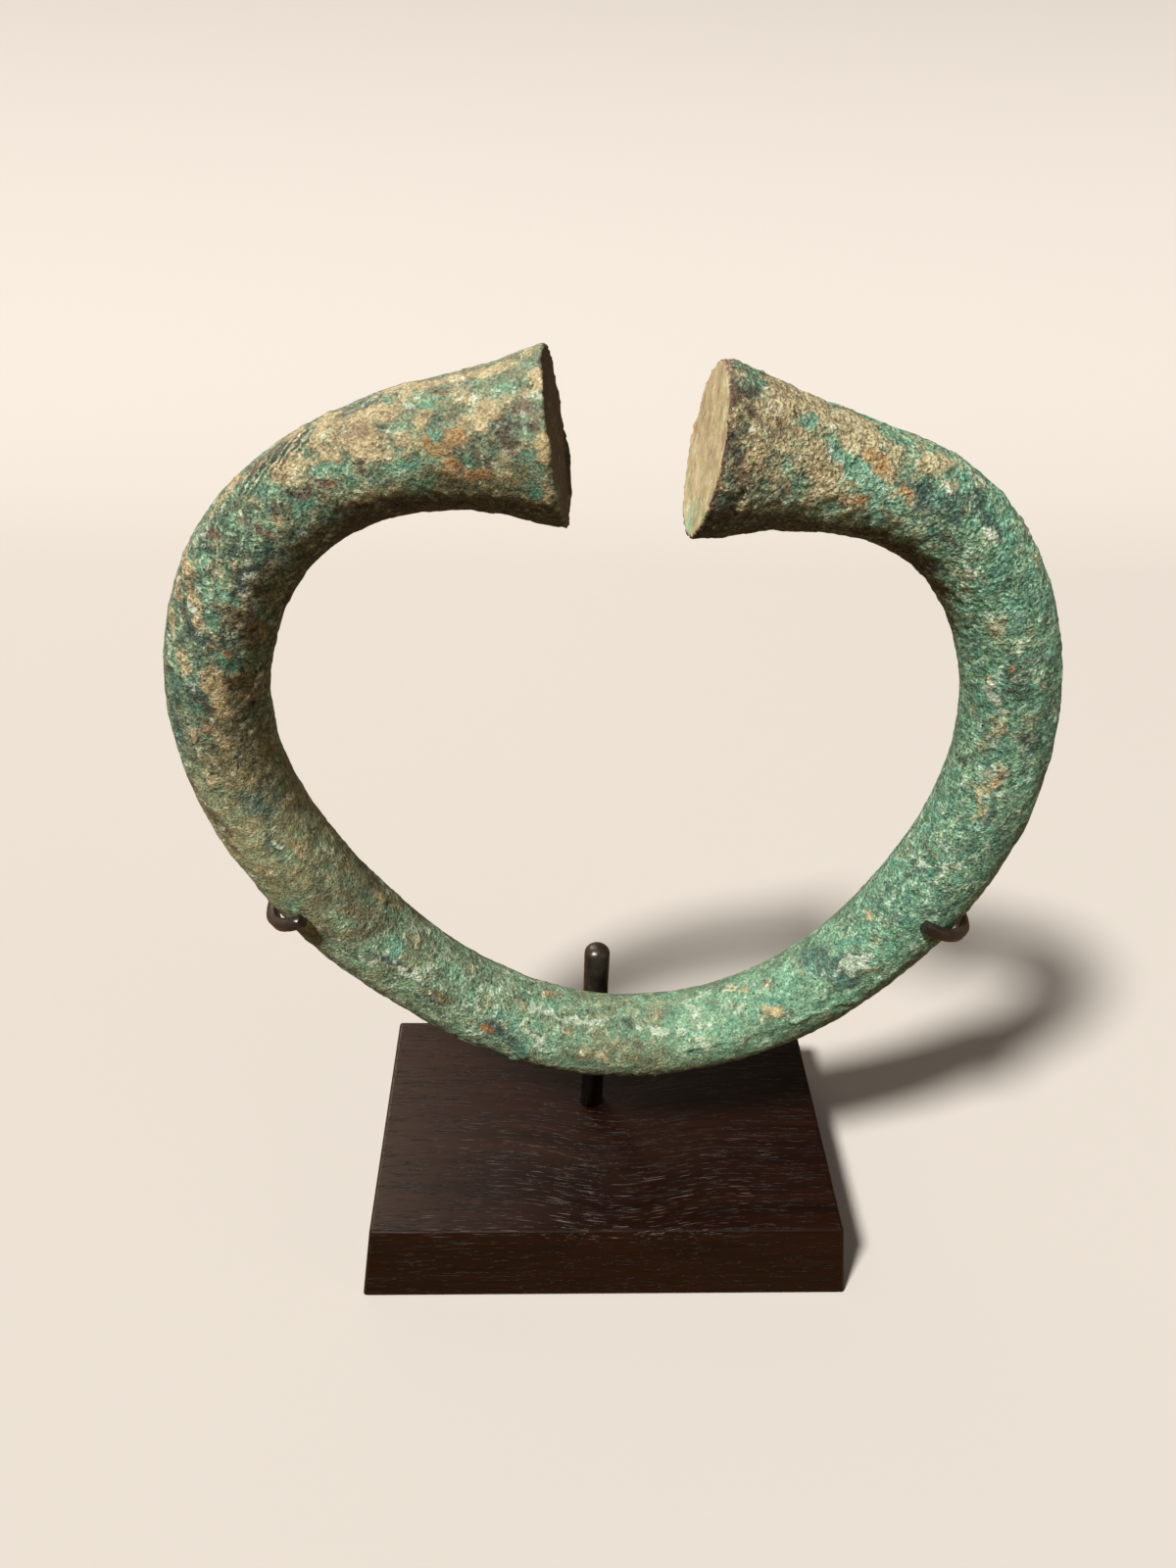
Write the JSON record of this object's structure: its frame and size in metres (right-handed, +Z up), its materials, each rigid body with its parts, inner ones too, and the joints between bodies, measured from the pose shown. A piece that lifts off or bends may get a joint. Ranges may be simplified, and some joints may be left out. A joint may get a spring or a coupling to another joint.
{
  "type": "manilla on display stand",
  "caption": "Heavy cast copper-alloy manilla, an open hoop with flared flat ends and a green crusted patina, held upright in the claws of a dark metal stand on a tapered wooden base.",
  "frame": {"origin": "centre of the wooden base's underside", "axes": "+Z up, +X to the right as seen from the front, -Y towards the front, where the hoop's face and the claw tips look"},
  "size_m": [0.2331, 0.0988, 0.2878],
  "materials": {
    "patinated_metal": "rough green and brown corrosion crust",
    "blackened_metal": "satin dark brown to black",
    "stained_wood": "dark stain, semi-gloss"
  },
  "bodies": {
    "root": {"manilla": "patinated_metal", "metal_stand": "blackened_metal", "wooden_base": "stained_wood"}
  },
  "joints": []
}
